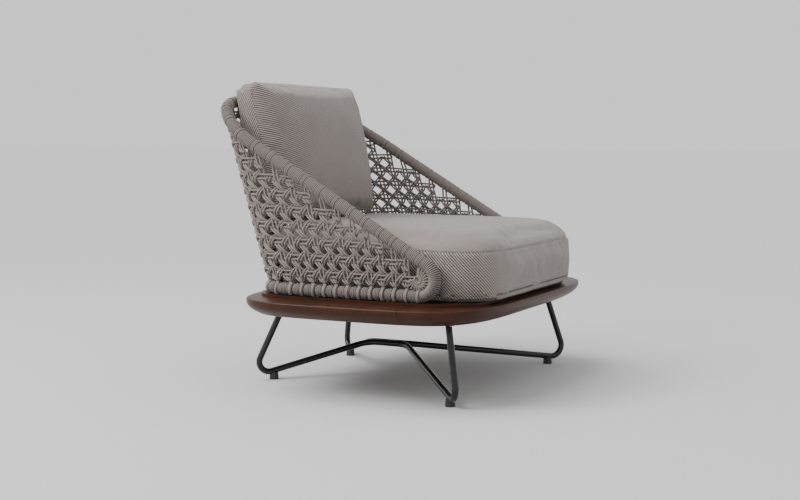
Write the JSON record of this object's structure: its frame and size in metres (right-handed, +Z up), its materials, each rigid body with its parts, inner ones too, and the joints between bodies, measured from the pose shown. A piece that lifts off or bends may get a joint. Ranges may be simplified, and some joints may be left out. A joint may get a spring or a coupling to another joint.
{
  "type": "lounge armchair",
  "caption": "Low lounge armchair: bent tube base, shaped timber plinth, cord-woven shell with sloping arms, loose seat and back cushions.",
  "frame": {"origin": "on the floor, under the middle of the chair's box", "axes": "+X to the sitter's left, that is, to the right when seen from the front; the chair faces -Y; +Z up"},
  "size_m": [0.9056, 0.7655, 0.7658],
  "materials": {
    "black_steel": "gloss black powder coat",
    "timber": "satin reddish-brown stain, straight grain",
    "cord": "braided outdoor cord, matte greige",
    "cushion_cloth": "ribbed upholstery cloth, matte",
    "foam": "open-cell foam",
    "glide": "moulded, fine matte",
    "fastener": "zinc-plated"
  },
  "bodies": {
    "chair_frame": {"left_leg_tube": "black_steel", "right_leg_tube": "black_steel", "spine_welds": "black_steel", "front_left_plate": "black_steel", "front_right_plate": "black_steel", "rear_left_plate": "black_steel", "rear_right_plate": "black_steel", "plate_screws": "fastener", "front_left_foot": "glide", "front_right_foot": "glide", "rear_left_foot": "glide", "rear_right_foot": "glide", "front_board": "timber", "rear_board": "timber", "left_board": "timber", "right_board": "timber", "board_dowels": "timber", "deck_frame": "timber", "slat_1": "timber", "slat_2": "timber", "slat_3": "timber", "slat_4": "timber", "slat_5": "timber", "slat_6": "timber", "slat_screws": "fastener", "hoop_bolts": "fastener", "left_arm_tube": "black_steel", "right_arm_tube": "black_steel", "back_rail_tube": "black_steel", "base_rail_tube": "black_steel", "left_upright": "black_steel", "right_upright": "black_steel", "left_arm_wrap": "cord", "right_arm_wrap": "cord", "back_rail_wrap": "cord", "left_base_wrap": "cord", "right_base_wrap": "cord", "rear_base_wrap": "cord", "left_weave": "cord", "right_weave": "cord", "back_weave": "cord"},
    "seat_cushion": {"seat_cover": "cushion_cloth", "seat_foam": "foam"},
    "back_cushion": {"back_cover": "cushion_cloth", "back_foam": "foam"}
  },
  "joints": [
    {"name": "seat_cushion_lift", "type": "slide", "parent": "chair_frame", "child": "seat_cushion", "axis": [0, 0, 1], "range_m": [0, 0.45]},
    {"name": "back_cushion_lift", "type": "slide", "parent": "seat_cushion", "child": "back_cushion", "axis": [0, 0, 1], "range_m": [0, 0.6]}
  ]
}
